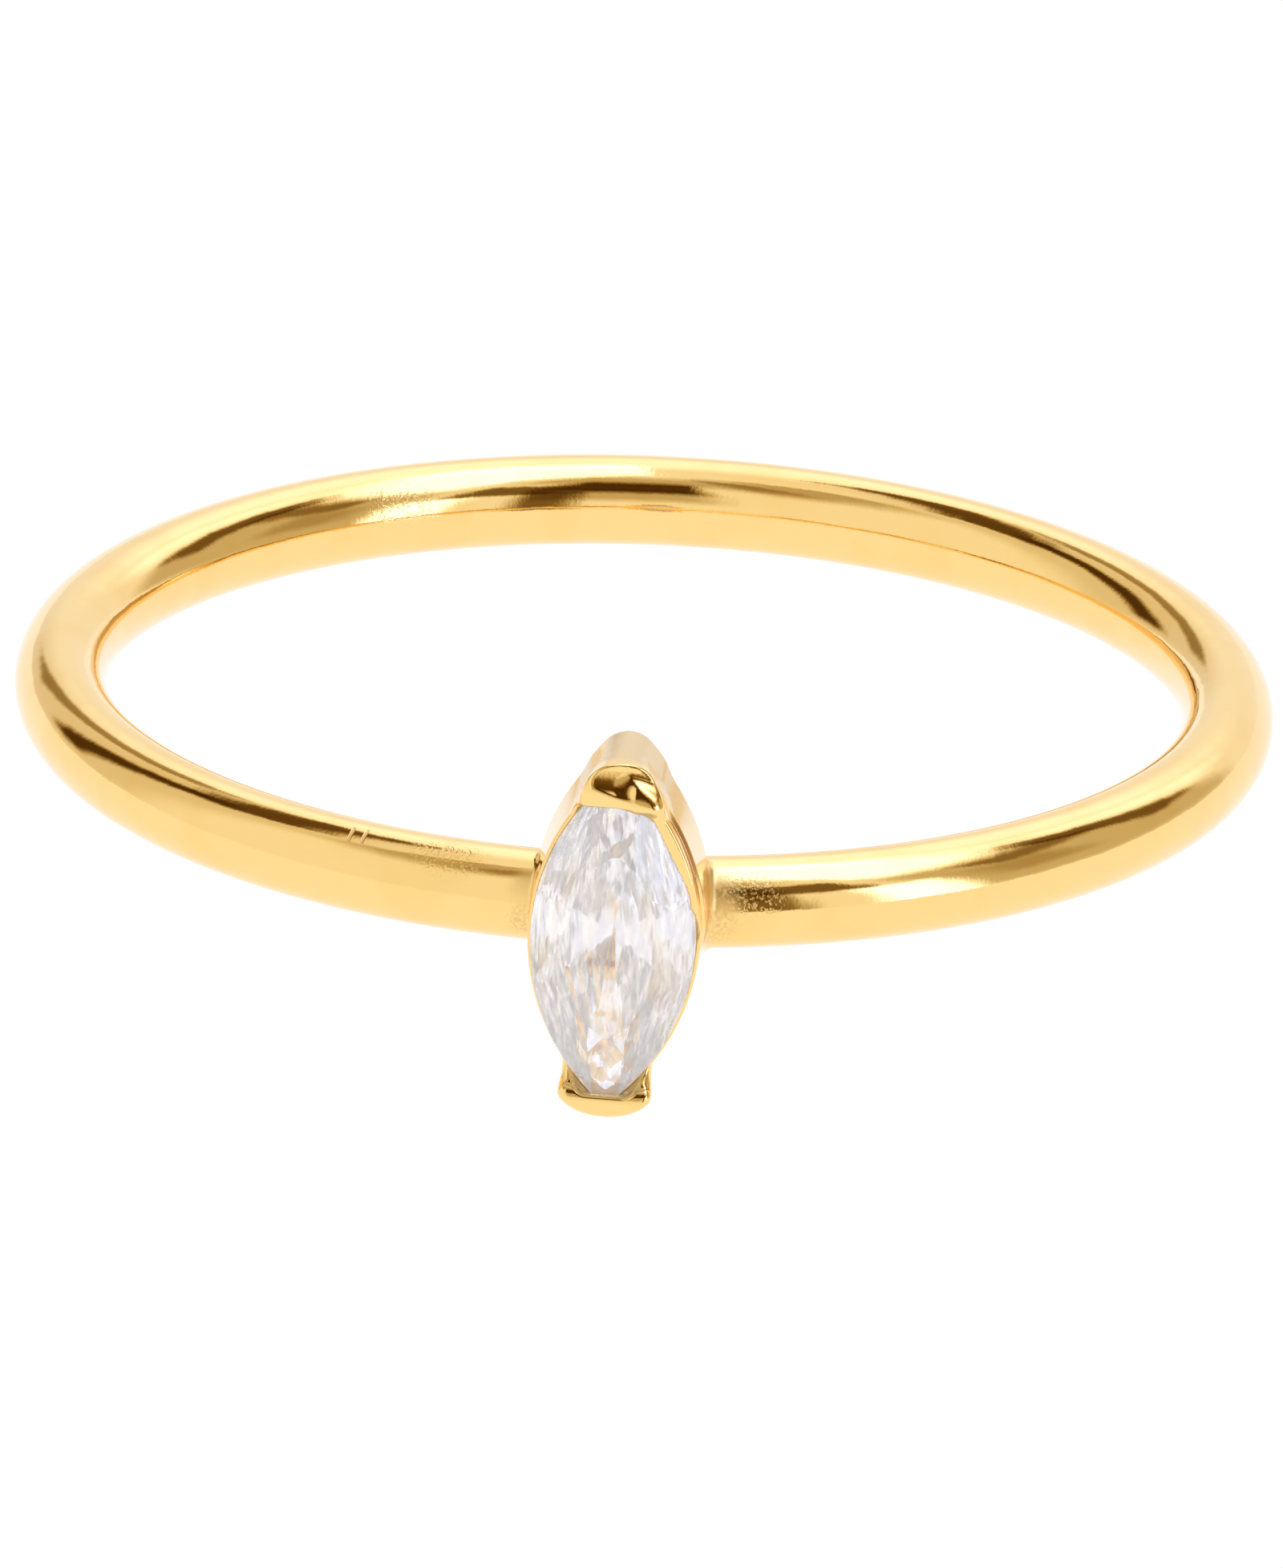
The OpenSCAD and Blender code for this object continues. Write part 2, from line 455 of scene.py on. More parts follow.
# %% Joining and cutting with round edges
def rounded_cut(first, second, radius):
    """What lies in both shapes, with the edge between them rounded."""
    corner = np.hypot(np.maximum(radius + first, 0), np.maximum(radius + second, 0))
    return np.minimum(-radius, np.maximum(first, second)) + corner


def filled_join(first, second, radius):
    """What lies in either shape, with the corner between them filled."""
    return -rounded_cut(-first, -second, radius)


print("a round edge of 1 mm takes", round(rounded_cut(0, 0, 1), 2), "mm off a square corner")

# %% [markdown]
# ## The head
# Seen from the front, stone and cup are both a boat: each side is an arc, and the two
# arcs meet at the points, which are blunted so that they don't chip.

# %% Outline of the stone
STONE_HALF_LEN = 2.5
STONE_HALF_W = 1.25
BLUNTING = 0.18  # how much longer the boat would be with sharp points, at each end

sharp_half = STONE_HALF_LEN + BLUNTING
side_r = (sharp_half**2 + STONE_HALF_W**2) / (2 * STONE_HALF_W)
side_centre = side_r - STONE_HALF_W


def boat(x, y, out, tip_radius):
    """Distance to the outline of the stone, moved out by this much."""
    right = np.hypot(x + side_centre, y) - (side_r + out)
    left = np.hypot(x - side_centre, y) - (side_r + out)
    return rounded_cut(right, left, tip_radius)


print("each side of the stone is an arc of", round(side_r, 2), "mm radius")

# %% [markdown]
# The cup's wall follows the stone and widens towards its back. On the upper right the
# setter pushed its rim up beside the stone, and that left a narrow ledge under the rim.
# The push fades in over the middle of the cup, because a sudden step would leave a jag.
# The wall could be the stone's outline, extruded and then sculpted with a brush, but a
# rule says the same in numbers that can be read and changed.

# %% Rule for the wall of the cup
GIRDLE_H = 0.08
RIM_DROP = 0.05  # from the lower edge of the girdle down to the rim
RIM_W = 0.05  # the rim stands this far out past the stone
CUP_FLARE = 0.06  # and the back of the cup this much further
CUP_DEPTH = 1.48
ROUND_RIM = 0.05
ROUND_BACK = 0.05
ROUND_KEEL = 0.02  # where the two sides of the wall meet
ROUND_END = 0.2
PUSHED_RISE = 0.26
PUSHED_OUT = 0.03
PUSH_ACROSS = (-0.25, 0.25)
PUSH_ALONG = (-0.2, 0.2)
RISE_ALONG = (0, 0.625)
LEDGE_W = 0.05
LEDGE_AT = -0.1
LEDGE_H = 0.08

rim_at = -GIRDLE_H / 2 - RIM_DROP


def share_between(value, start, end):
    """0 up to the start, 1 from the end on, and in proportion between them."""
    return np.clip((value - start) / (end - start), 0, 1)


def blend_between(start, end, share):
    return start + (end - start) * np.clip(share, 0, 1)


def cup_wall(x, y, z):
    """The wall; on the upper right its rim is pushed up, above a narrow ledge."""
    depth = (rim_at - z) / (rim_at + CUP_DEPTH)
    ledge = LEDGE_W * share_between(z, LEDGE_AT, LEDGE_AT - LEDGE_H)
    pushed = blend_between(PUSHED_OUT + ledge, CUP_FLARE, depth)
    push = share_between(x, *PUSH_ACROSS) * share_between(y, *PUSH_ALONG)
    wall = boat(x, y, RIM_W + blend_between(CUP_FLARE * depth, pushed, push), ROUND_KEEL)
    rise = PUSHED_RISE * share_between(x, *PUSH_ACROSS) * share_between(y, *RISE_ALONG)
    wall = rounded_cut(wall, z - rim_at - rise, ROUND_RIM)
    wall = rounded_cut(wall, -CUP_DEPTH - z, ROUND_BACK)
    return rounded_cut(wall, np.abs(y) - STONE_HALF_LEN, ROUND_END)


print("the rim lies", round(-rim_at, 2), "mm behind the girdle, and was pushed up by", PUSHED_RISE)

# %% [markdown]
# Each claw starts as a round foot at the back and spreads into a broad lip that wraps
# the point of the stone. A claw could be lofted through drawn sections. Here two shares,
# spread and flare, say how far a section has grown, and each of its sizes follows one of
# them. Both claws use this rule, with their own width and lip.

# %% Rule for a claw
CUP_WALL = 0.3
CLAW_TIP = 2.81  # from the middle of the stone to the outside of the claw
CLAW_FOOT_R = 0.57
CLAW_EDGE_R = 0.16
CLAW_RISE = 0.28  # from the girdle to the top of the claw
FOOT_HALF_W = 0.5
FLARE_DEPTH = 0.7  # the claws grow to their full width over this last stretch

foot_end = CUP_WALL - CUP_DEPTH
claw_shoulder = CLAW_RISE - CLAW_EDGE_R


def egg(x, y, half_width, half_depth, squareness):
    """Distance to an oval round the origin: 2 makes an ellipse, and more is squarer."""
    share = (np.abs(x) / half_width) ** squareness + (np.abs(y) / half_depth) ** squareness
    return half_width * (share ** (1 / squareness) - 1)


def claw(x, y, z, half_width, half_depth, squareness, lip_inner, lip_round):
    """The body of the upper claw; the lower one is its mirror image."""
    spread = share_between(z, foot_end, claw_shoulder)
    flare = share_between(z, claw_shoulder - FLARE_DEPTH, claw_shoulder)
    depth = blend_between(CLAW_FOOT_R, half_depth, spread)
    half_width = blend_between(FOOT_HALF_W, half_width, flare)
    squareness = blend_between(2, squareness, spread)
    inner = blend_between(CLAW_TIP - 2 * CLAW_FOOT_R, lip_inner, flare)
    body = egg(x, y - CLAW_TIP + depth, half_width, depth, squareness)
    body = rounded_cut(body, z - CLAW_RISE, CLAW_EDGE_R)
    body = rounded_cut(body, inner - y, lip_round)
    return rounded_cut(body, -CUP_DEPTH - z, ROUND_BACK)


print("a claw reaches", round(CLAW_TIP - STONE_HALF_LEN, 2), "mm past the point of the stone")

# %% [markdown]
# The upper claw is a dome with a flat lip. Its front was dressed with a round file, held
# a little askew, and the hollow face that the file left mirrors the dark gap over the
# camera. A file is a long round rod, so its stroke is the distance from a cylinder.

# %% Rule for the upper claw
UPPER_CLAW_W = 1.26
CLAW_CURVE_R = 0.85
UPPER_SQUARE = 2.6
UPPER_INNER = 2.17
UPPER_LIP_ROUND = 0.05
FILED_AT = (-0.12, 2.55, 0.15)
FILED_LEAN = math.radians(24)
FILED_DIVE = math.radians(-12)
FILE_R = 0.6
ROUND_FILED = 0.025


def file_stroke(x, y, z):
    """What the file takes off: it touches the face and runs along its own X."""
    turn = np.array(Matrix.Rotation(-FILED_LEAN, 3, "X") @ Matrix.Rotation(-FILED_DIVE, 3, "Y"))
    from_face = (x - FILED_AT[0], y - FILED_AT[1], z - FILED_AT[2])
    across = sum(n * value for n, value in zip(turn[:, 1], from_face))
    out = sum(n * value for n, value in zip(turn[:, 2], from_face))
    return np.hypot(across, out - FILE_R) - FILE_R


def upper_claw(x, y, z):
    body = claw(x, y, z, UPPER_CLAW_W / 2, CLAW_CURVE_R, UPPER_SQUARE, UPPER_INNER, UPPER_LIP_ROUND)
    return rounded_cut(body, -file_stroke(x, y, z), ROUND_FILED)


print("the lip of the upper claw covers", round(STONE_HALF_LEN - UPPER_INNER, 2), "mm of the stone")

# %% [markdown]
# The lower claw has a straight lip, and a pocket on each side of the stone's point, where
# the setter's graver cut the seat wider than the stone needs. So the pocket is a boat
# too, a little larger than the stone, and it is cut out of the claw.

# %% Rule for the lower claw
LOWER_CLAW_W = 1.55
LOWER_CURVE_R = 0.52
LOWER_SQUARE = 2.1
LOWER_INNER = 2.3
LOWER_LIP_ROUND = 0.28
POCKET_OUT = 0.08  # the pocket is this much larger than the stone
POCKET_DEPTH = 0.5
POCKET_END = 2.46
ROUND_POCKET = 0.05
ROUND_POCKET_LIP = 0.04


def lower_claw(x, y, z):
    """The lower claw, in the place of the upper one."""
    body = claw(x, y, z, LOWER_CLAW_W / 2, LOWER_CURVE_R, LOWER_SQUARE, LOWER_INNER, LOWER_LIP_ROUND)
    pocket = rounded_cut(boat(x, y, POCKET_OUT, ROUND_POCKET), -POCKET_DEPTH - z, ROUND_POCKET)
    pocket = rounded_cut(pocket, y - POCKET_END, ROUND_POCKET_LIP)
    return rounded_cut(body, -pocket, ROUND_POCKET_LIP)


print("the lip of the lower claw covers", round(STONE_HALF_LEN - LOWER_INNER, 2), "mm of the stone")

# %% [markdown]
# The stone is cut into the metal too, a little larger than it is, so that it sits in its
# own seat. The CAD stone is convex, so its facets' planes are all that the rule needs.

# %% Rule for the seat of the stone
def facet_planes(node, place):
    """Each facet of a convex CAD node as a direction and a distance, in the frame given."""
    mesh = frame["nodes"][node].data
    back = place.inverted()
    planes = {}
    for face in mesh.polygons:
        corner = back @ (Vector(mesh.vertices[face.vertices[0]].co) / MM)
        normal = (back.to_3x3() @ face.normal).normalized()
        key = tuple(round(value, 2) for value in normal)
        planes[key] = (*normal, normal.dot(corner))
    return np.array(list(planes.values()))


stone_planes = facet_planes("stone", stone_place)


def stone_distance(x, y, z):
    distance = np.full(x.shape, -np.inf)
    for a, b, c, d in stone_planes:
        distance = np.maximum(distance, a * x + b * y + c * z - d)
    return distance


print("the seat follows", len(stone_planes), "planes of the stone")

# %% [markdown]
# Last comes the whole of the metal near the head: a stub of the wire, the cup and the
# claws joined with solder fillets, the hollow cut out and the seat cut in. The right
# joint has more solder in its corner than the left.

# %% Rule for all of the metal near the head
SOLDER_LEFT = 0.03
SOLDER_RIGHT = 0.12
CLAW_FILL = 0.25
HOLLOW_DROP = 0.12  # the hollow stops this far under the girdle, so the lips stay whole
ROUND_HOLLOW = 0.05
ROUND_SEAT = 0.02
SEAT_GAP = 0.03

ring_rows = np.array(stone_on_ring)[:3]


def metal(points):
    x, y, z = points
    ring = ring_rows[:, :3] @ points.reshape(3, -1) + ring_rows[:, 3:]
    ring = ring.reshape(points.shape)
    wire = np.hypot(np.hypot(ring[0], ring[1]) - BAND_R, ring[2]) - WIRE_R
    head = filled_join(cup_wall(x, y, z), upper_claw(x, y, z), CLAW_FILL)
    head = filled_join(head, lower_claw(x, -y, z), CLAW_FILL)
    hollow = np.maximum(boat(x, y, RIM_W - CUP_WALL, ROUND_HOLLOW), np.abs(y) - STONE_HALF_LEN)
    hollow = np.maximum(hollow, z + HOLLOW_DROP)
    head = rounded_cut(head, -hollow, ROUND_BACK)
    solder = blend_between(SOLDER_LEFT, SOLDER_RIGHT, (x + STONE_HALF_W) / (2 * STONE_HALF_W))
    whole = filled_join(head, wire, solder)
    return rounded_cut(whole, SEAT_GAP - stone_distance(x, y, z), ROUND_SEAT)


middle_of_stone = np.zeros((3, 1))
print("the stone's middle is at least", round(metal(middle_of_stone)[0], 2), "mm from any metal")

# %% [markdown]
# ## From distances to a mesh
# Surface nets turn the rule into quads. The space round the head is divided into small
# cubes, finer where the claws and the rim need it, and the rule is read at their corners.

# %% The grid round the head
FINE = 0.024
COARSE = 0.045
NET_ACROSS = ((-2.16, COARSE), (-1.5, 0.033), (1.5, COARSE), (2.16, 0))
NET_ALONG = ((-2.9, FINE), (-1.9, COARSE), (1.0, FINE), (2.9, 0))
NET_OUT = ((-2.6, COARSE), (-0.55, FINE), (0.36, 0))


def graded_axis(stops):
    """Places of the grid's planes, with their own step from each stop to the next."""
    parts = [
        np.linspace(low, high, round((high - low) / step), endpoint=False)
        for (low, step), (high, _) in zip(stops, stops[1:])
    ]
    return np.concatenate([*parts, [stops[-1][0]]])


axes = [graded_axis(stops) for stops in (NET_ACROSS, NET_ALONG, NET_OUT)]
field = metal(np.stack(np.meshgrid(*axes, indexing="ij")))
print("grid:", field.shape, "places,", (field < 0).sum(), "of them in the metal")

# %% [markdown]
# Where inside and outside alternate round a face of a cube, the net would touch itself
# along one edge, which no real surface does. Turning one corner over parts or joins what
# meets there, and it moves the surface by less than a cube.

# %% Untangling the net before it is made
UNTANGLE_ROUNDS = 2


def untangle(field):
    for axis in (0, 1, 2):
        layers = np.moveaxis(field, axis, 0)
        a, b = layers[:, :-1, :-1] < 0, layers[:, 1:, :-1] < 0
        c, d = layers[:, 1:, 1:] < 0, layers[:, :-1, 1:] < 0
        corners = layers[:, :-1, :-1]
        corners[(a == c) & (b == d) & (a != b)] *= -1


untangled = field.copy()
for _ in range(UNTANGLE_ROUNDS):
    untangle(untangled)
print("corners turned over:", ((field < 0) != (untangled < 0)).sum())

# %% [markdown]
# Every cube that the surface passes through gets one vertex, at the mean of the places
# where its edges are crossed.

# %% One vertex for each crossed cube
def net_points(field):
    """The vertices, counted in cubes, and the number of each cube's vertex."""
    cells = tuple(n - 1 for n in field.shape)
    corner = {}
    for i, j, k in np.ndindex(2, 2, 2):
        corner[i, j, k] = field[i : i + cells[0], j : j + cells[1], k : k + cells[2]]
    inside = sum((value < 0).astype(np.int8) for value in corner.values())
    crossed = (inside > 0) & (inside < 8)
    number = np.full(cells, -1)
    number[crossed] = np.arange(crossed.sum())
    total = np.zeros((crossed.sum(), 3))
    hits = np.zeros(len(total))
    for axis in range(3):
        for i, j in np.ndindex(2, 2):
            start = [i, j]
            start.insert(axis, 0)
            end = list(start)
            end[axis] = 1
            a = corner[tuple(start)][crossed]
            b = corner[tuple(end)][crossed]
            cut = (a < 0) != (b < 0)
            place = np.tile(np.array(start, float), (cut.sum(), 1))
            place[:, axis] = a[cut] / (a[cut] - b[cut])
            total[cut] += place
            hits[cut] += 1
    return np.argwhere(crossed) + total / hits[:, None], number


cubes, number = net_points(untangled)
print("head:", len(cubes), "vertices")

# %% [markdown]
# Each edge of the grid that the surface crosses gets the quad of the four cubes round
# it, turned so that the quad faces out of the metal.

# %% One quad for each crossed edge
def net_quads(field, number):
    quads = []
    for axis in range(3):
        others = [n for n in range(3) if n != axis]
        low = [slice(1, -1)] * 3
        low[axis] = slice(0, -1)
        high = list(low)
        high[axis] = slice(1, None)
        a, b = field[tuple(low)], field[tuple(high)]
        leaving = (a < 0) & (b >= 0)
        entering = (a >= 0) & (b < 0)
        for chosen, turn in ((leaving, 1), (entering, -1)):
            at = np.argwhere(chosen)
            at[:, others] += 1
            ring = []
            for back_first, back_second in ((1, 1), (0, 1), (0, 0), (1, 0)):
                cell = at.copy()
                cell[:, others[0]] -= back_first
                cell[:, others[1]] -= back_second
                ring.append(number[tuple(cell.T)])
            if axis == 1:
                turn = -turn
            quads.append(np.stack(ring[::turn], 1))
    return np.concatenate(quads)


quads = net_quads(untangled, number)
print("head:", len(quads), "quads")

# %% [markdown]
# The net is a little uneven, because the mean of some crossings isn't a place on the
# surface. A few small steps along the slope of the rule put each vertex on it, and then
# the metal shades like a polished one.

# %% Settling on the surface
NUDGE = 0.1 * FINE
LEAST_STEEP = 0.25
SETTLE_ROUNDS = 3


def settle(points):
    """Moves points along the slope of the rule until they lie on its surface."""
    for _ in range(SETTLE_ROUNDS):
        slope = np.stack(
            [
                (metal(points + NUDGE * axis[:, None]) - metal(points - NUDGE * axis[:, None]))
                / (2 * NUDGE)
                for axis in np.eye(3)
            ]
        )
        steep = np.maximum((slope**2).sum(0), LEAST_STEEP)
        points = points - np.clip(metal(points) / steep, -FINE, FINE) * slope
    return points


places = [np.interp(cubes[:, n], range(len(axis)), axis) for n, axis in enumerate(axes)]
vertices = settle(np.stack(places)).T
settled = (np.abs(metal(vertices.T)) < MM).mean()
print(round(100 * settled, 2), "% of the vertices lie within a micrometre of the surface")

# %% [markdown]
# ## One piece of metal
# The net ends in a stub of wire on both sides of the head. Both are cut square to the
# wire, and the cut's vertices are put on the wire's round section, because a net is never
# quite round.

# %% Cutting the stubs of the wire
ON_THE_CUT = 0.00001  # vertices this near to the cut, in mm, count as cut


def put_on_wire(vert, turn):
    """Moves a vertex of the cut onto the round section of the wire there."""
    middle = BAND_R * Vector((math.cos(turn), math.sin(turn), 0))
    vert.co = middle + WIRE_R * (vert.co - middle).normalized()


built = bmesh.new()
made = [built.verts.new(v) for v in vertices]
for quad in quads:
    built.faces.new([made[i] for i in quad])
built.transform(stone_on_ring)
for side in (-1, 1):
    cut_turn = front + side * HEAD_TURN
    cut = bmesh.ops.bisect_plane(
        built,
        geom=built.verts[:] + built.edges[:] + built.faces[:],
        dist=ON_THE_CUT,
        plane_co=(0, 0, 0),
        plane_no=(-side * math.sin(cut_turn), side * math.cos(cut_turn), 0),
        clear_outer=True,
    )["geom_cut"]
    for item in cut:
        if isinstance(item, bmesh.types.BMVert):
            put_on_wire(item, cut_turn)
print("head, cut on both sides:", len(built.faces), "faces")

# %% [markdown]
# The swept wire ends just short of the cuts, and a strip of faces bridges the two, so
# the metal is one closed skin, as the soldered ring is one piece. A boolean would do
# this too, but it would leave slivers all round.

# %% Sewing the head into the band
built.from_mesh(wire_mesh)
for side in (-1, 1):
    open_edges = [e for e in built.edges if e.is_boundary and side * e.verts[0].co.x > 0]
    bmesh.ops.bridge_loops(built, edges=open_edges)
bmesh.ops.recalc_face_normals(built, faces=built.faces)
built.transform(to_metres @ ring_place)
print(
    "gold ring:",
    sum(len(f.verts) - 2 for f in built.faces),
    "triangles,",
    sum(not e.is_manifold for e in built.edges),
    "open edges,",
    round(built.calc_volume() / MM**3, 2),
    "mm3",
)

# %% [markdown]
# The skin becomes an object. It rides on the part's one body and stands for the CAD model's solid of
# band and setting, which is hidden.

# %% The gold ring
mesh = bpy.data.meshes.new("gold_ring")
built.to_mesh(mesh)
built.free()
mesh.materials.clear()
mesh.materials.append(gold)
for face in mesh.polygons:
    face.use_smooth = True
gold_ring = bpy.data.objects.new("gold_ring", mesh)
bpy.context.scene.collection.objects.link(gold_ring)
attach(gold_ring, "root")
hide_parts("band_and_setting")
print("gold_ring:", len(mesh.polygons), "faces")

# %% [markdown]
# ## The stone
# Colourless and strongly refracting: light that enters through the crown is thrown back by the
# pavilion, which breaks the room into small grey, white and beige flakes. Here those flakes are
# painted reflections in the stone's colour, from noises drawn out along the stone. The CAD stone has
# all the main facets, so it stays as it is. Cells drawn out the same way bump the facets with the
# small breaks that worn facets and their mirror images make.

# %% Painted reflections in the stone
PAINTED_REFLECTION_GREY = (0.66, 0.63, 0.69, 1)
PAINTED_REFLECTION_WHITE = (0.94, 0.91, 0.92, 1)
PAINTED_REFLECTION_BEIGE = (0.88, 0.76, 0.64, 1)
DRAWN_OUT = 3.5  # times as long as wide
CELLS_PER_M = 5500.0
PAINTED_REFLECTIONS_PER_M = 9000.0
WARM_REFLECTIONS_PER_M = 4000.0
BREAK_DEPTH = 0.1 * MM

clear, tree = new_material("cut_stone")
place = tree.add("ShaderNodeTexCoord", output="Object")
along = tree.add(
    "ShaderNodeMapping",
    {"vector_type": "TEXTURE"},
    {"Vector": place, "Rotation": tuple(stone_place.to_euler()), "Scale": (1, DRAWN_OUT, 1)},
)
cells = tree.add("ShaderNodeTexVoronoi", values={"Vector": along, "Scale": CELLS_PER_M})
breaks = tree.add(
    "ShaderNodeBump", values={"Strength": 0.12, "Distance": BREAK_DEPTH, "Height": cells}
)
painted_reflections = tree.add(
    "ShaderNodeTexNoise", values={"Vector": along, "Scale": PAINTED_REFLECTIONS_PER_M, "Detail": 2.0}
)
painted_warm_reflections = tree.add(
    "ShaderNodeTexNoise", values={"Vector": along, "Scale": WARM_REFLECTIONS_PER_M, "Detail": 2.0}
)
# the stone's colour is painted reflections: grey and white flakes, and warm beige ones
tint = tree.mix_colours(tree.smooth_step(painted_reflections, 0.4, 0.65), PAINTED_REFLECTION_GREY, PAINTED_REFLECTION_WHITE)
tint = tree.mix_colours(0.7 * tree.smooth_step(painted_warm_reflections, 0.48, 0.62), tint, PAINTED_REFLECTION_BEIGE)
print("the flakes are", DRAWN_OUT, "times as long as wide")

# %% [markdown]
# The stone is taken for cubic zirconia, which bends light by 2.15, much more than glass.
# The faint emission stands for the light that goes round inside the stone more often than
# the render follows it.

# %% Cut stone
STONE_IOR = 2.15

shader = tree.add(
    "ShaderNodeBsdfPrincipled",
    values={
        "Base Color": tint,
        "Roughness": 0.1,
        "IOR": STONE_IOR,
        "Specular Tint": (1.0, 0.85, 0.68, 1.0),
        "Transmission Weight": 0.95,
        "Emission Color": (1, 1, 1, 1),
        "Emission Strength": 0.08,
        "Normal": breaks,
    },
)
tree.node("ShaderNodeOutputMaterial", values={"Surface": shader})
stone = frame["nodes"]["stone"]
stone.data.materials.clear()
stone.data.materials.append(clear)
print("stone:", len(stone.data.polygons), "triangles")

# %% [markdown]
# ## Table and studio
# The ring lies on a light table, which shows as plain white and leaves no shadow. A white card under
# a lamp would do as well, but it would show a shadow that the photograph doesn't have. The table
# isn't a piece of the ring.

# %% Light table
TABLE_R = 3.0
TABLE_LIGHT = 1.02
TABLE_SIDES = 64

glow, tree = new_material("light_table")
shader = tree.add("ShaderNodeEmission", values={"Color": (1, 1, 1, 1), "Strength": TABLE_LIGHT})
tree.node("ShaderNodeOutputMaterial", values={"Surface": shader})
built = bmesh.new()
bmesh.ops.create_circle(built, cap_ends=True, segments=TABLE_SIDES, radius=TABLE_R)
mesh = bpy.data.meshes.new("table")
built.to_mesh(mesh)
built.free()
mesh.materials.append(glow)
table = bpy.data.objects.new("table", mesh)
bpy.context.scene.collection.objects.link(table)
print("table:", TABLE_R, "m in radius")

# %% [markdown]
# Polished gold shows the room more than itself, so the room is made with care. It is a
# sky that is worked out from the direction: how far it is turned from the camera's side,
# to the right, and how high it is. A patch is a soft-edged part of it.

# %% Directions in the studio
world = bpy.data.worlds.new("studio_tent")
world.use_nodes = True
world.node_tree.nodes.clear()
bpy.context.scene.world = world
tree = NodeTree(world.node_tree)
dx, dy, dz = tree.components(tree.add("ShaderNodeTexCoord", output="Generated"))
azimuth = tree.add("ShaderNodeMath", {"operation": "ARCTAN2"}, {0: dx, 1: -dy}) * (180 / math.pi)
height = tree.add("ShaderNodeMath", {"operation": "ARCSINE"}, {0: dz}) * (180 / math.pi)


def window(value, low, high, soft):
    """1 between two angles and 0 outside them, with soft edges."""
    return tree.smooth_step(value, low - soft / 2, low + soft / 2) * tree.smooth_step(
        value, high + soft / 2, high - soft / 2
    )


def patch(turn, rise, soft):
    """A part of the tent between two azimuths and two heights, in degrees."""
    return window(azimuth, *turn, soft) * window(height, *rise, soft)


print("directions:", len(world.node_tree.nodes), "nodes")

# %% [markdown]
# The tent is white cloth, darker overhead on the left and in front, with a large softbox
# overhead on the right and a glow through the wall behind the ring. Real lamps would need
# a closed tent round them, which hides the ring from a camera outside it.

# %% Cloth and softbox
CLOTH_LIGHT = 0.96
DARK_LEFT = 0.43
DARK_FRONT = 0.4
SOFTBOXES = (
    (0.75, (66, 200), (54, 82), 14),  # overhead on the right, as far as the back
    (0.35, (85, 200), (80, 100), 14),  # and on up to the ceiling
)
BACK_GLOW = 0.3

light = CLOTH_LIGHT - DARK_LEFT * patch((-104, -34), (58, 82), 16)
light = light * (1 - DARK_FRONT * patch((-60, 50), (64, 84), 14))
for share, turn, rise, soft in SOFTBOXES:
    light = light + share * patch(turn, rise, soft)
behind = tree.smooth_step(abs(azimuth), 140, 165)
light = light + BACK_GLOW * behind * window(height, 22, 62, 20)
print("softboxes:", len(SOFTBOXES))

# %% [markdown]
# A tent has gaps where its cloths meet, and they are the dark streaks in the gold. Each
# keeps a share of the light out, between two azimuths and two heights, with soft edges.

# %% Gaps and shaded walls
SHADES = (
    (0.2, (-165, -100), (-5, 62), 24),  # back left wall
    (0.6, (-160, -150), (8, 40), 5),  # fold in that wall
    (0.85, (-162, -118), (43, 58), 7),  # gap over that wall
    (0.9, (-135, -122), (6, 46), 7),  # gap in the back left corner
    (0.92, (-14, 32), (44, 70), 12),  # gap over the camera
    (0.4, (-14, 30), (24, 50), 16),  # shade under that gap
    (0.8, (19, 32), (0, 46), 8),  # gap to the right of the camera
    (0.8, (28, 54), (38, 58), 7),  # gap over the bright strip
    (0.36, (62, 134), (0, 52), 12),  # right wall
    (0.3, (74, 96), (16, 38), 12),  # fold in that wall
    (0.72, (117, 133), (20, 52), 7),  # gap in the back right corner
    (0.6, (84, 122), (38, 49), 7),  # gap over the right wall
)

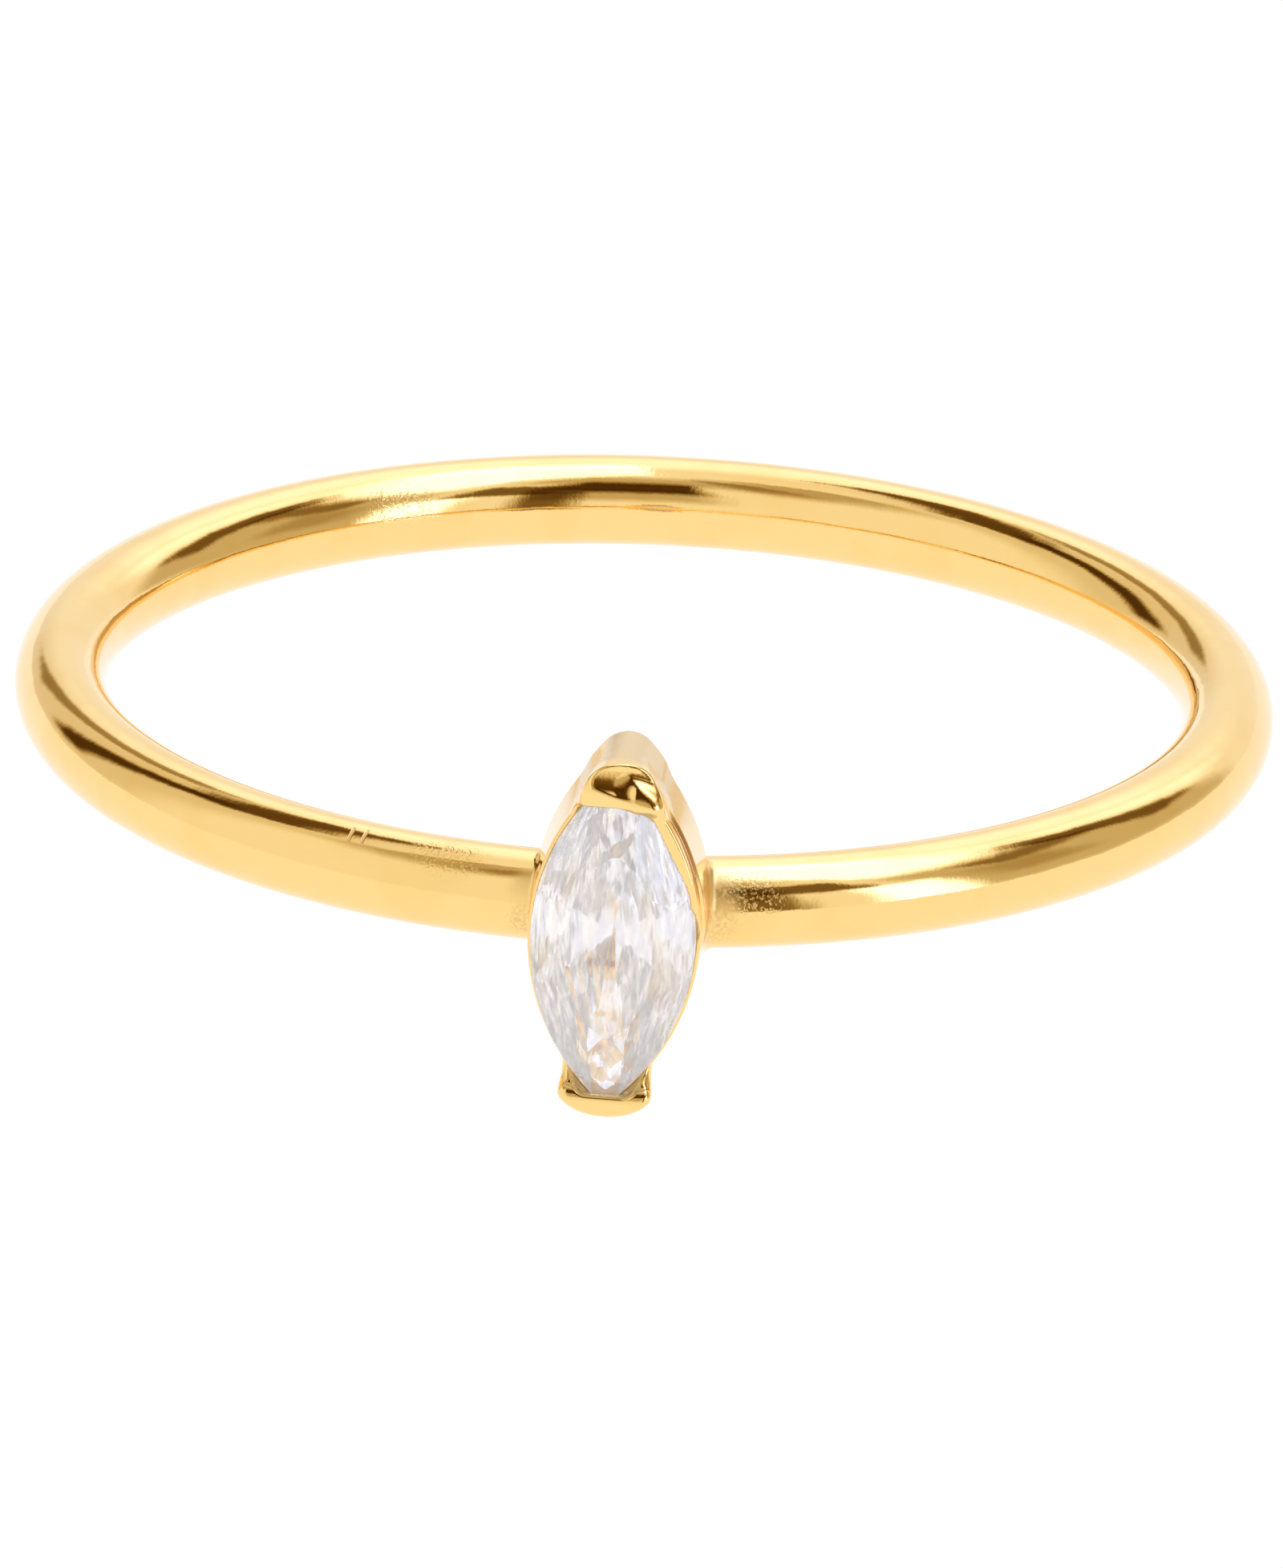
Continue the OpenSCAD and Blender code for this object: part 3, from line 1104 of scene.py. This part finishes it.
for share, turn, rise, soft in SHADES:
    light = light * (1 - share * patch(turn, rise, soft))
print("gaps and shades:", len(SHADES))

# %% [markdown]
# Two bright strips come last, because no cloth hangs before them. Then the light gets its
# colour: where the tent is dim it is warm, as when lamps shine through cloth, so green
# and blue fall off faster than red.

# %% Strips and the tone of the light
STRIPS = (
    (0.3, (136, 152), (20, 50), 12),  # behind, on the right
    (0.85, (47, 66), (-8, 37), 7),  # to the right of the camera
)
GREEN_FALL = 1.3
BLUE_FALL = 2

for share, turn, rise, soft in STRIPS:
    light = light + share * patch(turn, rise, soft)
colour = tree.add(
    "ShaderNodeCombineColor",
    values={"Red": light, "Green": light**GREEN_FALL, "Blue": light**BLUE_FALL},
)
background = tree.add("ShaderNodeBackground", values={"Color": colour, "Strength": 1.0})
tree.node("ShaderNodeOutputWorld", values={"Surface": background})
print("studio tent:", len(world.node_tree.nodes), "nodes")

# %% [markdown]
# ## Camera
# A long lens from the front, about 27 degrees over the table and a little to the right
# of the head, tipped by two degrees. The angles come from the outline of the band in the
# photograph, and the long lens from how little smaller the far side looks.

# %% Camera
CAMERA_TURN = math.radians(1.53)
CAMERA_RISE = math.radians(27.07)
CAMERA_ROLL = math.radians(1.98)
CAMERA_FAR = 537
CAMERA_LENS = 804.8
LOOK_AT = Vector((0.022, 0.07, 0.605))

camera_data = bpy.data.cameras.new("camera")
camera_data.lens = CAMERA_LENS
camera_data.clip_start = 0.01
camera = bpy.data.objects.new("camera", camera_data)
bpy.context.scene.collection.objects.link(camera)
back = Vector(
    (
        math.sin(CAMERA_TURN) * math.cos(CAMERA_RISE),
        -math.cos(CAMERA_TURN) * math.cos(CAMERA_RISE),
        math.sin(CAMERA_RISE),
    )
)
camera.location = (LOOK_AT + CAMERA_FAR * back) * MM
aim = (-back).to_track_quat("-Z", "Y").to_matrix().to_4x4()
camera.rotation_euler = (aim @ Matrix.Rotation(CAMERA_ROLL, 4, "Z")).to_euler()
bpy.context.scene.camera = camera
bpy.context.scene.view_settings.view_transform = "Standard"
print("camera:", [round(value, 4) for value in camera.location])
